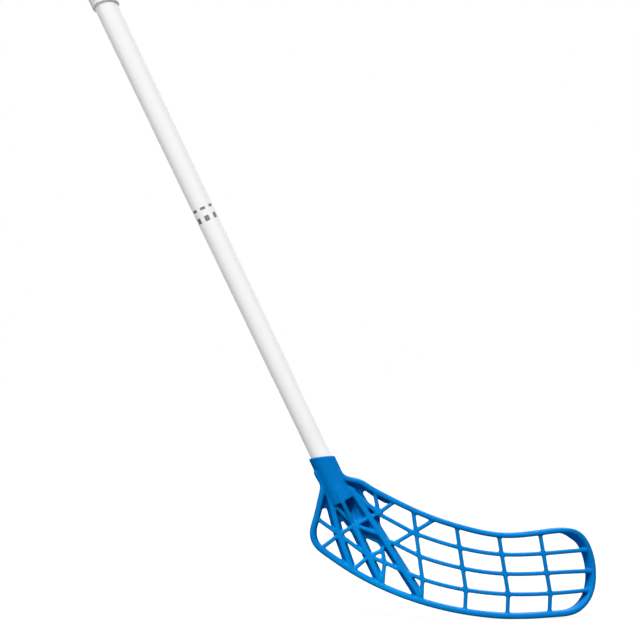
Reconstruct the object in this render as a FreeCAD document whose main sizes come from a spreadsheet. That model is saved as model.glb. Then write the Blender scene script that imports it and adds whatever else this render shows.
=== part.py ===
import FreeCAD, Part
import Sketcher
import math
import os
from FreeCAD import Placement, Rotation, Vector

# Floorball stick, standing on the sole of its blade as it does in play.
# The origin is the lowest point of the sole, on the floor.  +X runs to the toe, +Y to the concave back of
# the blade and +Z up.  The shaft leans back over the heel, in the XZ plane.

doc = FreeCAD.newDocument("floorball_stick")
sheet = doc.addObject("Spreadsheet::Sheet", "sizes")

# Driving dimensions in millimetres, or in degrees where the name says so.
SIZES = [
    # shaft, measured up its axis from the point where the axis meets the floor
    ("lean_deg", 25.55, "lean of the shaft from upright"),
    ("axis_foot", 127.3, "from the sole's lowest point back to the foot of the shaft's axis"),
    ("tube_seat", 139.0, "height up the axis of the tube's lower end"),
    ("tube_length", 960.0, "length of the tube"),
    ("tip_length", 65.0, "straight stretch of the tube at the blade"),
    ("taper_length", 480.0, "tapered stretch above it"),
    ("tip_dia", 21.3, "outside diameter at the blade"),
    ("grip_dia", 24.0, "outside diameter under the grip"),
    ("tube_wall", 1.3, "wall of the tube"),
    # socket of the blade
    ("glue_gap", 0.35, "radial gap that the glue fills"),
    ("glue_length", 42.0, "length of tube that the glue covers"),
    ("socket_wall", 1.8, "wall of the socket"),
    ("rim_height", 187.7, "height up the axis of the middle of the socket's rim"),
    ("rim_slant_deg", 18.0, "slant of the rim, high on the heel side"),
    ("rim_front_deg", 6.5, "slant of the rim, high in front"),
    ("seat_lip", 2.0, "thickness of the lip that the tube's end stands on"),
    ("seat_width", 1.4, "how far the lip reaches in from the bore"),
    ("throat_height", 110.0, "height up the axis of the knot below the open throat"),
    ("tail_end", 99.0, "height up the axis where the socket's tail runs out"),
    ("tail_dia", 10.0, "diameter of the tail where it runs out"),
    ("scoop_end", 113.0, "height up the axis where the hollow in the tail ends"),
    ("scoop_rise", 7.2, "how far that hollow has come forward by its end"),
    ("scoop_shift", 3.6, "how far it has drifted to the toe side by its end"),
    ("mouth_clear", 0.8, "gap behind the ribs that cross the open mouth of the tail"),
    ("centre_rib_width", 3.8, "slim rib on the front of the socket"),
    ("centre_rib_proud", 0.8, "how far that rib stands out of the socket"),
    ("centre_rib_top", 152.0, "height up the axis where that rib starts"),
    ("knot_height", 73.0, "height up the axis of the lowest knot of ribs"),
    ("strut_foot", 44.0, "height up the axis where the middle strut ends in the sole"),
    # blade outline and its bend
    ("blade_length", 299.5, "heel to toe"),
    ("blade_rise", 156.4, "floor to the top rail's root at the socket"),
    ("sole_point", 220.5, "from the heel to the sole's lowest point"),
    ("bend_start", 105.0, "from the sole's lowest point back to the start of the bend"),
    ("gentle_radius", 1320.0, "radius of the blade's long gentle bend"),
    ("hook_length", 64.4, "from the start of the hook to the toe"),
    ("hook_radius", 135.0, "radius of the hook at the toe"),
    ("face_offset", 1.5, "how far the blade's middle surface stands in front of the shaft's axis"),
    # blade members
    ("rail_width", 4.9, "rim of the blade along the top, seen from the front"),
    ("sole_extra", 0.9, "how much wider the rim is along the sole"),
    ("rail_depth", 13.0, "rim of the blade, front to back"),
    ("rail_round", 1.7, "rounding of the rim's edges"),
    ("heel_flare", 2.0, "how much further in the rim's back reaches at the heel"),
    ("toe_flare", 1.6, "how much further in the rim's back reaches at the toe"),
    ("corner_flare", 5.2, "how much more it reaches in towards the toe's top"),
    ("flare_length", 41.0, "from the start of the toe's flare to the toe"),
    ("rib_width", 3.5, "lattice rib, seen from the front"),
    ("rib_depth", 7.5, "lattice rib, front to back"),
    ("rib_inset", 1.5, "how far the ribs lie behind the front of the rim"),
    ("rib_sink", 0.6, "how far the wing's rib meets the first bar below the long rib"),
    ("rib_bite", 1.2, "how far the ribs run into the rim"),
    ("strut_ridge", 4.4, "front ridge of a strut"),
    ("strut_base", 11.0, "foot of a strut, at the back"),
    ("strut_skew", 0.7, "how far a strut's foot lies to the heel side of its ridge"),
    ("strut_inset", 0.7, "how far the ridges lie behind the front of the rim"),
    ("brace_width", 3.7, "brace between the right strut and the top rail"),
    ("web_thick", 3.0, "web that closes the lattice below the socket"),
    ("heel_step", 1.0, "how far the heel rail stands proud of the socket at its top"),
    ("heel_step_low", 160.9, "height up the axis where the heel rail meets the socket"),
    ("heel_step_top", 178.0, "height up the axis where that step ends"),
    # cross bars of the lattice
    ("bar_first", 112.9, "from the sole's lowest point back to the first cross bar's top"),
    ("bay_first", 45.6, "first bay between cross bars"),
    ("bay_step", 1.1, "how much shorter each next bay is"),
    ("bar_lean_deg", 7.8, "lean of the first cross bar"),
    ("bar_lean_step_deg", 0.7, "how much more each next bar leans"),
    ("bar_foot_lean_deg", 2.4, "lean of the bars' feet, the other way"),
    # screws in the back of the socket
    ("screw_low", 152.0, "height up the axis of the lower screw"),
    ("screw_pitch", 19.0, "distance between the two screws"),
    ("screw_dia", 2.9, "shank of a screw"),
    ("screw_length", 7.5, "shank below the head"),
    ("head_dia", 5.6, "head of a screw"),
    ("head_thick", 1.7, "height of the head"),
    ("boss_dia", 8.0, "boss that a head sits on"),
    ("boss_proud", 0.8, "how far a boss stands out of the socket"),
    # grip and end cap
    ("wrap_length", 385.0, "length of shaft that the grip covers"),
    ("wrap_thick", 1.9, "thickness of the wound grip"),
    ("wrap_pitch", 26.0, "advance of the tape in one turn"),
    ("wrap_slant_deg", 11.2, "slant of the grip's lower edge"),
    ("seam_depth", 0.6, "depth of the seam between turns"),
    ("seam_width", 1.6, "width of the seam between turns"),
    ("cap_proud", 0.6, "how far the cap stands out round the grip"),
    ("cap_thick", 8.0, "head of the cap"),
    ("cap_round", 2.0, "bevel of the cap's edge"),
    ("plug_length", 30.0, "plug of the cap inside the tube"),
    ("plug_wall", 2.0, "wall of the plug"),
]
for row, (alias, value, note) in enumerate(SIZES, start=1):
    sheet.set(f"A{row}", str(value))
    sheet.set(f"B{row}", note)
    sheet.setAlias(f"A{row}", alias)
doc.recompute()


def size(alias):
    """A driving dimension, as the sheet holds it."""
    return float(sheet.get(alias))


# The shaft's axis: its foot on the floor, its direction up, and the direction across it towards the toe.
lean = math.radians(size("lean_deg"))
AXIS_FOOT = Vector(-size("axis_foot"), 0, 0)
AXIS_UP = Vector(-math.sin(lean), 0, math.cos(lean))
AXIS_SIDE = Vector(math.cos(lean), 0, math.sin(lean))
ON_AXIS = Placement(AXIS_FOOT, Rotation(Vector(0, 1, 0), -size("lean_deg")))

tip_radius = size("tip_dia") / 2
bore_radius = tip_radius + size("glue_gap")
socket_radius = bore_radius + size("socket_wall")


def axis_point(height, side=0.0, depth=0.0):
    """The point at a height up the shaft's axis, set off to the toe side and towards the back."""
    return AXIS_FOOT + AXIS_UP * height + AXIS_SIDE * side + Vector(0, depth, 0)


def place_on_axis(item):
    """Put an object that is built along its own Z axis on the leaning axis of the shaft."""
    item.Placement = ON_AXIS
    item.setExpression("Placement.Base.x", "-sizes.axis_foot")
    item.setExpression("Placement.Rotation.Angle", "-sizes.lean_deg")


def outline_sketch(body, label, corners):
    """A closed sketch of straight lines in a body's upright plane.

    Each corner is a pair of expressions, its distance from the body's own Z axis and its height.
    """
    sketch = body.newObject("Sketcher::SketchObject", label)
    upright = [f for f in body.Origin.OriginFeatures if f.Role == "XZ_Plane"][0]
    sketch.AttachmentSupport = [(upright, "")]
    sketch.MapMode = "FlatFace"
    count = len(corners)
    places = [Vector(i + 1.0, i * i, 0) for i in range(count)]
    for i in range(count):
        sketch.addGeometry(Part.LineSegment(places[i], places[(i + 1) % count]), False)
    for i in range(count):
        sketch.addConstraint(Sketcher.Constraint("Coincident", i, 2, (i + 1) % count, 1))
    for i, (radius, height) in enumerate(corners):
        across = sketch.addConstraint(Sketcher.Constraint("DistanceX", -1, 1, i, 1, i + 1.0))
        sketch.setExpression(f"Constraints[{across}]", radius)
        along = sketch.addConstraint(Sketcher.Constraint("DistanceY", -1, 1, i, 1, i + 1.0))
        sketch.setExpression(f"Constraints[{along}]", height)
    doc.recompute()
    return sketch


def revolved_body(label, corners):
    """A body of revolution about its own Z axis, from the corners of its section."""
    body = doc.addObject("PartDesign::Body", label)
    sketch = outline_sketch(body, label + "_section", corners)
    turned = body.newObject("PartDesign::Revolution", label + "_turned")
    turned.Profile = sketch
    turned.ReferenceAxis = (sketch, ["V_Axis"])
    turned.Angle = 360
    doc.recompute()
    return body


def drilled(label, body):
    """A body with the screws' two holes through its back, leaned with the shaft's axis."""
    part = doc.addObject("Part::Cut", label)
    part.Base = body
    part.Tool = screw_holes
    place_on_axis(part)
    return part


def screw_cylinder(label, diameter, length, start, height):
    """A cylinder across the shaft's axis, on the line of a screw, from a depth towards the front."""
    item = doc.addObject("Part::Cylinder", label)
    item.Placement = Placement(Vector(0, 0, 0), Rotation(Vector(1, 0, 0), 90))
    item.setExpression("Radius", f"{diameter} / 2")
    item.setExpression("Height", length)
    item.setExpression("Placement.Base.y", start)
    item.setExpression("Placement.Base.z", height)
    return item


HEAD_SEAT = "sizes.tip_dia / 2 + sizes.glue_gap + sizes.socket_wall + sizes.boss_proud"
SCREW_HEIGHTS = ("sizes.screw_low", "sizes.screw_low + sizes.screw_pitch")
screw_holes = doc.addObject("Part::Compound", "screw_holes")
screw_holes.Links = [
    screw_cylinder(f"screw_hole_{i}", "sizes.screw_dia", HEAD_SEAT, HEAD_SEAT, height)
    for i, height in enumerate(SCREW_HEIGHTS)
]

# Shaft: a composite tube, straight in the socket, tapered up to the grip and straight under it.
shaft = drilled("shaft", revolved_body("shaft_tube", [
    ("sizes.tip_dia / 2", "sizes.tube_seat"),
    ("sizes.tip_dia / 2", "sizes.tube_seat + sizes.tip_length"),
    ("sizes.grip_dia / 2", "sizes.tube_seat + sizes.tip_length + sizes.taper_length"),
    ("sizes.grip_dia / 2", "sizes.tube_seat + sizes.tube_length"),
    ("sizes.grip_dia / 2 - sizes.tube_wall", "sizes.tube_seat + sizes.tube_length"),
    ("sizes.grip_dia / 2 - sizes.tube_wall", "sizes.tube_seat + sizes.tip_length + sizes.taper_length"),
    ("sizes.tip_dia / 2 - sizes.tube_wall", "sizes.tube_seat + sizes.tip_length"),
    ("sizes.tip_dia / 2 - sizes.tube_wall", "sizes.tube_seat"),
]))

# Glue: it fills the gap between the tube and the socket up to just below the socket's rim.
socket_adhesive = drilled("socket_adhesive", revolved_body("glue_sleeve", [
    ("sizes.tip_dia / 2 + sizes.glue_gap", "sizes.tube_seat"),
    ("sizes.tip_dia / 2 + sizes.glue_gap", "sizes.tube_seat + sizes.glue_length"),
    ("sizes.tip_dia / 2", "sizes.tube_seat + sizes.glue_length"),
    ("sizes.tip_dia / 2", "sizes.tube_seat"),
]))

# Screws: two alike, through the back of the socket and the glue into the tube.
screw_parts = []
for i, height in enumerate(SCREW_HEIGHTS):
    screw = doc.addObject("Part::Fuse", f"screw_{i}")
    shank_length, head_top = "sizes.screw_length", HEAD_SEAT + " + sizes.head_thick"
    screw.Base = screw_cylinder(f"screw_shank_{i}", "sizes.screw_dia", shank_length, HEAD_SEAT, height)
    screw.Tool = screw_cylinder(f"screw_head_{i}", "sizes.head_dia", "sizes.head_thick", head_top, height)
    screw_parts.append(screw)
blade_screws = doc.addObject("Part::Compound", "blade_screws")
blade_screws.Links = screw_parts
place_on_axis(blade_screws)

# Blade: one moulding.  Its front view is an outline with a lattice in it; the plan is straight at the heel,
# bends gently from the first cross bar and hooks at the toe.
HALF_DEPTH = size("rail_depth") / 2
MID_DEPTH = -size("face_offset")
bend_x = -size("bend_start")
gentle = size("gentle_radius")
hook = size("hook_radius")
heel_x = -size("sole_point")
toe_x = heel_x + size("blade_length")
hook_x = toe_x - size("hook_length")
hook_turn = math.asin((hook_x - bend_x) / gentle)
GENTLE_CENTRE = Vector(bend_x, MID_DEPTH + gentle, 0)
HOOK_CENTRE = GENTLE_CENTRE + Vector(math.sin(hook_turn), -math.cos(hook_turn), 0) * (gentle - hook)


def turn_at(x):
    """How far the blade's middle surface has turned from the XZ plane at x."""
    if x <= bend_x:
        return 0.0
    if x <= hook_x:
        return math.asin((x - bend_x) / gentle)
    return math.asin((x - HOOK_CENTRE.x) / hook)


def depth_at(x):
    """Where the blade's middle surface lies along Y at x."""
    if x <= bend_x:
        return MID_DEPTH
    if x <= hook_x:
        return GENTLE_CENTRE.y - gentle * math.cos(turn_at(x))
    return HOOK_CENTRE.y - hook * math.cos(turn_at(x))


def blade_point(along, up):
    """A point of the blade's front view, from its shares of the blade's length and rise."""
    return Vector(heel_x + along * size("blade_length"), 0, up * size("blade_rise"))


def smooth_curve(points):
    """A smooth curve through points, with even parameters so that two such curves can be ruled together."""
    curve = Part.BSplineCurve()
    curve.interpolate(Points=points, Parameters=[float(i) for i in range(len(points))])
    return curve


# Outer line of the rim, in shares of the blade's length and rise, from the socket along the top rail, round
# the toe, back along the sole and up the heel to the socket.
OUTLINE = [
    (0.109, 1.000), (0.119, 0.970), (0.147, 0.950), (0.172, 0.939), (0.184, 0.931), (0.198, 0.914),
    (0.264, 0.841), (0.404, 0.713), (0.544, 0.624), (0.683, 0.576), (0.822, 0.597), (0.893, 0.606),
    (0.918, 0.600), (0.946, 0.574), (0.9825, 0.470), (1.000, 0.285), (0.981, 0.121), (0.935, 0.035),
    (0.857, 0.010), (0.736, 0.000), (0.579, 0.021), (0.439, 0.074), (0.299, 0.162), (0.159, 0.292),
    (0.051, 0.429), (0.012, 0.499), (0.000, 0.582), (0.0075, 0.651), (0.018, 0.724), (0.026, 0.792),
    (0.033, 0.850),
]
outline_points = [blade_point(*share) for share in OUTLINE]
STEP_RUN = ((0.0, 1.6), (0.5, 1.3), (1.0, 1.0))
step_rise = size("heel_step_top") - size("heel_step_low")
outline_points += [
    axis_point(size("heel_step_low") + share * step_rise, -socket_radius - proud * size("heel_step"))
    for share, proud in STEP_RUN
]
outline_curve = Part.BSplineCurve()
outline_curve.interpolate(outline_points)
OUTLINE_STEPS = 100
FULL_FLARE = 0.68
HEEL_FLARE_FALL = 4


def flare_at(x, inward):
    """How much further in the rim's back reaches than its front, at x, where inward points into the blade."""
    share = (x - toe_x + size("flare_length")) / (FULL_FLARE * size("flare_length"))
    share = min(max(share, 0.0), 1.0)
    share = share * share * (3 - 2 * share)
    at_side = size("toe_flare") * (1 - max(inward.z, 0.0))
    at_top = size("corner_flare") * max(-inward.z, 0.0)
    return share * (at_side + at_top) + size("heel_flare") * max(inward.x, 0.0) ** HEEL_FLARE_FALL


def outline_inset(distance, flared=0.0):
    """Points of the front view along a line inside the outline, at a distance and a share of the flare.

    The distance is measured along the blade's surface, so it is foreshortened where the blade turns away.
    It grows from the top rail to the sole, because the sole is the thicker.
    """
    first, last = outline_curve.FirstParameter, outline_curve.LastParameter
    points = []
    for i in range(OUTLINE_STEPS + 1):
        at = first + (last - first) * i / OUTLINE_STEPS
        p = outline_curve.value(at)
        along = outline_curve.tangent(at)[0]
        inward = Vector(along.z, 0, -along.x)
        growth = 1 + size("sole_extra") / size("rail_width") * (1 + inward.z) / 2
        reach = distance * growth + flared * flare_at(p.x, inward)
        inward.x *= math.cos(turn_at(p.x))
        points.append(p + inward * reach)
    return points


def off_surface(p, offset):
    """The point that lies behind a point of the front view, at an offset from the blade's middle surface."""
    turn = turn_at(p.x)
    return Vector(p.x - offset * math.sin(turn), depth_at(p.x) + offset * math.cos(turn), p.z)


def ruled_tube(lines):
    """The solid between smooth lines that run side by side, each ruled to the next, with flat ends."""
    curves = [smooth_curve(line).toShape() for line in lines]
    walls = [Part.makeRuledSurface(a, b, 1) for a, b in zip(curves, curves[1:] + curves[:1])]
    ends = []
    for at in (0, -1):
        corners = [line[at] for line in lines]
        ends.append(Part.Face(Part.makePolygon(corners + corners[:1])))
    skin = Part.Compound(walls + ends)
    skin.sewShape()
    solid = Part.Solid(skin.Shells[0])
    if solid.Volume < 0:
        solid.reverse()
    return solid


def rail_section():
    """Corners of the rim's section, as distance in from the outline and offset from the middle surface.

    The front edges are rounded in two steps each, and the back ones are bevelled.
    """
    width, rounding = size("rail_width"), size("rail_round")
    centres = [
        (rounding, HALF_DEPTH - rounding, 90, 1), (rounding, rounding - HALF_DEPTH, 180, 2),
        (width - rounding, rounding - HALF_DEPTH, 270, 2), (width - rounding, HALF_DEPTH - rounding, 0, 1),
    ]
    corners = []
    for inset, offset, start, steps in centres:
        for i in range(steps + 1):
            angle = math.radians(start + 90 * i / steps)
            corners.append((inset + rounding * math.cos(angle), offset + rounding * math.sin(angle)))
    return corners


rail_lines = []
for inset, offset in rail_section():
    flared = (inset / size("rail_width")) * (offset + HALF_DEPTH) / size("rail_depth")
    rail_lines.append([off_surface(p, offset) for p in outline_inset(inset, flared)])
rim = ruled_tube(rail_lines)


def along_y(face, start, end):
    """The solid that a face of the front view sweeps between two depths."""
    return face.translated(Vector(0, start, 0)).extrude(Vector(0, end - start, 0))


def polygon(corners):
    """A flat face with straight sides."""
    return Part.Face(Part.makePolygon(corners + corners[:1]))


def sides(points, half_width):
    """The two side lines of a strip along straight stretches, mitred where two stretches meet."""
    runs = [(b - a).normalize() for a, b in zip(points, points[1:])]
    normals = [Vector(-run.z, 0, run.x) for run in runs]
    left, right = [], []
    for i, p in enumerate(points):
        before, after = normals[max(i - 1, 0)], normals[min(i, len(normals) - 1)]
        mitre = (before + after) * (half_width / (1 + before.dot(after)))
        left.append(p + mitre)
        right.append(p - mitre)
    return left, right


def strip(points, width):
    """A flat strip of even width along straight stretches, run on at both ends by half its width."""
    half = width / 2
    first = points[0] + (points[0] - points[1]).normalize() * half
    last = points[-1] + (points[-1] - points[-2]).normalize() * half
    left, right = sides([first] + points[1:-1] + [last], half)
    return polygon(left + right[::-1])


def curved_strip(points, width):
    """A flat strip of even width along a smooth curve through points."""
    curve = Part.BSplineCurve()
    curve.interpolate(points)
    spots = curve.discretize(3 * len(points))
    left, right = sides(spots, width / 2)
    one, other = smooth_curve(left).toShape(), smooth_curve(right[::-1]).toShape()
    return Part.Face(Part.Wire([
        one, Part.makeLine(left[-1], right[-1]), other, Part.makeLine(right[0], left[0]),
    ]))


def edge_height(x, upper):
    """Height of the outline's upper or lower edge at x."""
    upright = Part.LineSegment(Vector(x, 0, -1), Vector(x, 0, 2 * size("blade_rise"))).toShape()
    cuts = [v.Z for v in outline_curve.toShape().section(upright).Vertexes]
    return max(cuts) if upper else min(cuts)


# Four cross bars lean towards the toe, each a little more than the last.  Below the lowest long rib they
# turn back to their feet on the sole.  The long ribs cross them at shares of the height between the rim's
# edges, and wave a little from bar to bar.
SETTLE_STEPS = 4
LONG_RIB_SHARES = (0.260, 0.486, 0.722)
LONG_RIB_WAVE = (0.009, 0.003, -0.008, 0.007)
bars = []
for i, wave in enumerate(LONG_RIB_WAVE):
    top_x = i * size("bay_first") - size("bay_step") * i * (i - 1) / 2 - size("bar_first")
    top = Vector(top_x, 0, edge_height(top_x, True))
    slope = math.tan(math.radians(size("bar_lean_deg") + i * size("bar_lean_step_deg")))
    drop = top.z - edge_height(top_x, False)
    for _ in range(SETTLE_STEPS):
        drop = top.z - edge_height(top_x + slope * drop, False)
    shares = [share + wave for share in LONG_RIB_SHARES]
    knots = [top + Vector(slope, 0, -1) * (drop * share) for share in shares]
    foot_drop = drop * (1 - shares[-1])
    foot = knots[-1] - Vector(math.tan(math.radians(size("bar_foot_lean_deg"))), 0, 1) * foot_drop
    bars.append([top] + knots + [foot])
toe_ends = [blade_point(0.990, 0.453), blade_point(1.010, 0.306), blade_point(0.996, 0.182)]

# Knots of the lattice below the socket, in shares of the blade's length and rise.
left_knot = blade_point(0.103, 0.567)
right_knot = blade_point(0.249, 0.567)
throat = axis_point(size("throat_height"))
low_knot = axis_point(size("knot_height"))
wing_root = blade_point(0.209, 0.684)
wing = blade_point(0.241, 0.711)
fork = blade_point(0.296, 0.508)
star = blade_point(0.371, 0.592)
sill = blade_point(0.2645, 0.3785)
join = blade_point(0.3285, 0.320)
left_strut = [blade_point(0.063, 0.859), left_knot, blade_point(0.1518, 0.303)]
middle_strut = [throat, axis_point(size("strut_foot"))]
right_strut = [blade_point(0.1075, 0.905), blade_point(0.149, 0.861), right_knot, blade_point(0.386, 0.153)]
socket_strut = [blade_point(0.143, 0.868), blade_point(0.1936, 0.782), wing]
struts = [left_strut, middle_strut, right_strut]

ribs = [
    [blade_point(0.030, 0.669), left_knot, blade_point(0.1535, 0.6275), wing_root, wing],
    [blade_point(0.048, 0.487), left_knot, low_knot, sill, join, bars[0][3]],
    [blade_point(0.077, 0.788), throat, right_knot],
    [wing, blade_point(0.228, 0.829)],
    [wing, blade_point(0.2925, 0.784)],
    [blade_point(0.240, 0.707), bars[0][1] - Vector(0, 0, size("rib_sink"))],
    [fork, star, blade_point(0.4315, 0.662)],
    [blade_point(0.266, 0.530), fork, bars[0][2]],
    [blade_point(0.158, 0.342), low_knot, blade_point(0.253, 0.461)],
    [blade_point(0.253, 0.4725), blade_point(0.261, 0.385), blade_point(0.255, 0.247)],
] + bars
strips = [strip(rib, size("rib_width")) for rib in ribs]
for i, toe_end in enumerate(toe_ends):
    strips.append(curved_strip([bar[i + 1] for bar in bars] + [toe_end], size("rib_width")))


# The lattice is the union of the strips, as deep as a rib, and ends inside the rim.
near_depth = MID_DEPTH - size("rail_depth")
far_depth = depth_at(toe_x) + size("rail_depth")


def to_depth(p, depth):
    """Where the line through a point of the front view, square to the middle surface, has a depth."""
    return Vector(p.x - (depth - depth_at(p.x)) * math.tan(turn_at(p.x)), depth, p.z)


def within(points):
    """The solid inside a line of the front view, with walls square to the blade's middle surface."""
    wires = []
    for depth in (near_depth, far_depth):
        line = [to_depth(p, depth) for p in points]
        wires.append(Part.Wire([smooth_curve(line).toShape(), Part.makeLine(line[-1], line[0])]))
    return Part.makeLoft(wires, True, True)


def layer(front, back):
    """The solid between two offsets from the blade's middle surface."""
    rows = []
    for offset in (front, back):
        first = off_surface(Vector(heel_x - size("rail_depth"), 0, 0), offset)
        bend = off_surface(Vector(bend_x, 0, 0), offset)
        gentle_mid = off_surface(Vector((bend_x + hook_x) / 2, 0, 0), offset)
        turn = off_surface(Vector(hook_x, 0, 0), offset)
        hook_mid = off_surface(Vector((hook_x + toe_x) / 2, 0, 0), offset)
        last = off_surface(Vector(toe_x + size("rail_depth"), 0, 0), offset)
        rows.append([
            Part.makeLine(first, bend), Part.Arc(bend, gentle_mid, turn).toShape(),
            Part.Arc(turn, hook_mid, last).toShape(),
        ])
    ends = [Part.makeLine(rows[0][at].Vertexes[at].Point, rows[1][at].Vertexes[at].Point) for at in (0, -1)]
    plan = Part.Face(Part.Wire(Part.__sortEdges__(rows[0] + rows[1] + ends)))
    return plan.extrude(Vector(0, 0, 2 * size("blade_rise"))).translated(Vector(0, 0, -size("rail_depth")))


inside = within(outline_inset(size("rail_width") - size("rib_bite")))
rib_front = size("rib_inset") - HALF_DEPTH
flat = strips[0].fuse(strips[1:]).removeSplitter()
lattice = Part.Compound([along_y(face, near_depth, far_depth) for face in flat.Faces])
lattice = lattice.common(inside).common(layer(rib_front, rib_front + size("rib_depth")))

# Struts carry the load from the socket to the sole.  Each has a narrow ridge in front and a broad foot
# behind.
strut_front = MID_DEPTH - HALF_DEPTH + size("strut_inset")
rim_back = MID_DEPTH + HALF_DEPTH


def strut_solid(points):
    """A strut along straight stretches, wider at the back than at its ridge."""
    wires = []
    for depth, width in ((strut_front, size("strut_ridge")), (rim_back, size("strut_base"))):
        left, right = sides(points, width / 2)
        spread = (width - size("strut_ridge")) / (size("strut_base") - size("strut_ridge"))
        corners = [p + Vector(-size("strut_skew") * spread, depth, 0) for p in left + right[::-1]]
        wires.append(Part.makePolygon(corners + corners[:1]))
    return Part.makeLoft(wires, True, True)


# A web at the back closes the lattice between the struts, below the socket.
WEB = [
    (0.024, 0.735), (0.056, 0.744), (0.098, 0.657), (0.121, 0.654), (0.139, 0.617), (0.189, 0.550),
    (0.238, 0.506), (0.249, 0.476), (0.267, 0.516), (0.245, 0.644), (0.245, 0.711), (0.2075, 0.768),
    (0.184, 0.846), (0.192, 0.863), (0.222, 0.822), (0.261, 0.779), (0.281, 0.770), (0.290, 0.800),
    (0.238, 0.860), (0.147, 0.932), (0.042, 0.879),
]
web = along_y(polygon([blade_point(*share) for share in WEB]), rim_back - size("web_thick"), rim_back)
brace = along_y(strip(socket_strut, size("brace_width")), strut_front, rim_back)
frame = web.fuse([strut_solid(strut) for strut in struts] + [brace]).common(inside)

# Socket: a sleeve for the tube with a tail that runs down between the struts.  The tail is hollow, and open
# in front between the struts.
socket_foot = size("tube_seat") - size("seat_lip")
rim_lean = math.radians(size("lean_deg") - size("rim_slant_deg"))
RIM_UP = Vector(-math.sin(rim_lean), math.tan(math.radians(size("rim_front_deg"))), math.cos(rim_lean))
sleeve_length = size("rim_height") + socket_radius - socket_foot
sleeve = Part.makeCylinder(socket_radius, sleeve_length, axis_point(socket_foot), AXIS_UP)
above_rim = Part.makeCylinder(3 * socket_radius, sleeve_length, axis_point(size("rim_height")), RIM_UP)
sleeve = sleeve.cut(above_rim)
tail_length = socket_foot - size("tail_end")
tail = Part.makeCone(size("tail_dia") / 2, socket_radius, tail_length, axis_point(size("tail_end")), AXIS_UP)


def level_with(points, height):
    """Where the line through two points crosses a height up the shaft's axis."""
    low, high = [(p - AXIS_FOOT).dot(AXIS_UP) for p in points]
    return points[0] + (points[1] - points[0]) * ((height - low) / (high - low))


mouth = polygon([
    level_with(left_strut[:2], socket_foot), left_knot, throat,
    wing_root, level_with(right_strut[1:3], socket_foot),
])
mouth_back = MID_DEPTH + rib_front + size("rib_depth") + size("mouth_clear")
core = sleeve.fuse(tail).cut(along_y(mouth, -2 * socket_radius, mouth_back))
screw_heights = [size("screw_low"), size("screw_low") + size("screw_pitch")]
head_seat = socket_radius + size("boss_proud")
BACK = Vector(0, 1, 0)
bosses = [Part.makeCylinder(size("boss_dia") / 2, head_seat, axis_point(h), BACK) for h in screw_heights]
holes = [Part.makeCylinder(size("screw_dia") / 2, 2 * head_seat, axis_point(h), BACK) for h in screw_heights]
seat_radius = bore_radius - size("seat_width")
scoop_end = axis_point(size("scoop_end"), size("scoop_shift"), -size("scoop_rise"))
scoop_run = scoop_end - axis_point(size("tube_seat"))
scoop_start = axis_point(size("tube_seat")) - scoop_run * (size("seat_lip") / scoop_run.Length)
cavity = Part.makeCylinder(seat_radius, scoop_run.Length + size("seat_lip"), scoop_start, scoop_run)
bore = Part.makeCylinder(bore_radius, sleeve_length, axis_point(size("tube_seat")), AXIS_UP)

# A slim rib runs down the front of the socket and on across the mouth to the throat.
rib_half = size("centre_rib_width") / 2
rib_top = size("centre_rib_top")
wires = []
for height, front, back in (
    (rib_top, -socket_radius - size("centre_rib_proud"), -bore_radius),
    (socket_foot, -socket_radius - size("centre_rib_proud"), -bore_radius + size("socket_wall")),
    (size("throat_height"), MID_DEPTH + rib_front, MID_DEPTH),
):
    corners = [
        axis_point(height, side, depth)
        for side, depth in ((-rib_half, front), (rib_half, front), (rib_half, back), (-rib_half, back))
    ]
    wires.append(Part.makePolygon(corners + corners[:1]))
centre_rib = Part.makeLoft(wires, True, True)

body = frame.fuse([core] + bosses).cut(cavity)
blade = doc.addObject("Part::Feature", "blade")
blade.Shape = rim.fuse([lattice, body, centre_rib]).cut([bore] + holes)
blade.Placement = Placement()

# Grip: tape wound round the top of the shaft, as a sleeve with the seam between its turns as a groove.  Its
# lower end is trimmed at a slant, low on the toe side.
GRIP_OUTSIDE = "sizes.grip_dia / 2 + sizes.wrap_thick"
TUBE_TOP = "sizes.tube_seat + sizes.tube_length"
GRIP_FOOT = TUBE_TOP + " - sizes.wrap_length"
grip_sleeve = revolved_body("grip_sleeve", [
    (GRIP_OUTSIDE, GRIP_FOOT),
    (GRIP_OUTSIDE, TUBE_TOP),
    ("sizes.grip_dia / 2", TUBE_TOP),
    ("sizes.grip_dia / 2", GRIP_FOOT),
])
seam_sketch = outline_sketch(grip_sleeve, "seam_section", [
    (GRIP_OUTSIDE + " - sizes.seam_depth", GRIP_FOOT + " + sizes.wrap_pitch"),
    (GRIP_OUTSIDE + " + sizes.seam_depth", GRIP_FOOT + " + sizes.wrap_pitch - sizes.seam_width"),
    (GRIP_OUTSIDE + " + sizes.seam_depth", GRIP_FOOT + " + sizes.wrap_pitch + sizes.seam_width"),
])
seam = grip_sleeve.newObject("PartDesign::SubtractiveHelix", "seam")
seam.Profile = seam_sketch
seam.ReferenceAxis = (seam_sketch, ["V_Axis"])
seam.Mode = "pitch-height-angle"
seam.setExpression("Pitch", "sizes.wrap_pitch")
seam.setExpression("Height", "sizes.wrap_length - 2 * sizes.wrap_pitch")
grip_trim = doc.addObject("Part::Cylinder", "grip_trim")
grip_trim.Placement = Placement(Vector(0, 0, 0), Rotation(Vector(0, 1, 0), 180))
grip_trim.setExpression("Radius", "2 * sizes.grip_dia")
grip_trim.setExpression("Height", "2 * sizes.grip_dia")
GRIP_CUT = f"{GRIP_FOOT} + ({GRIP_OUTSIDE}) * tan(sizes.wrap_slant_deg)"
grip_trim.setExpression("Placement.Base.z", GRIP_CUT)
grip_trim.setExpression("Placement.Rotation.Angle", "180 + sizes.wrap_slant_deg")
grip_wrap = doc.addObject("Part::Cut", "grip_wrap")
grip_wrap.Base = grip_sleeve
grip_wrap.Tool = grip_trim
place_on_axis(grip_wrap)

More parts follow.
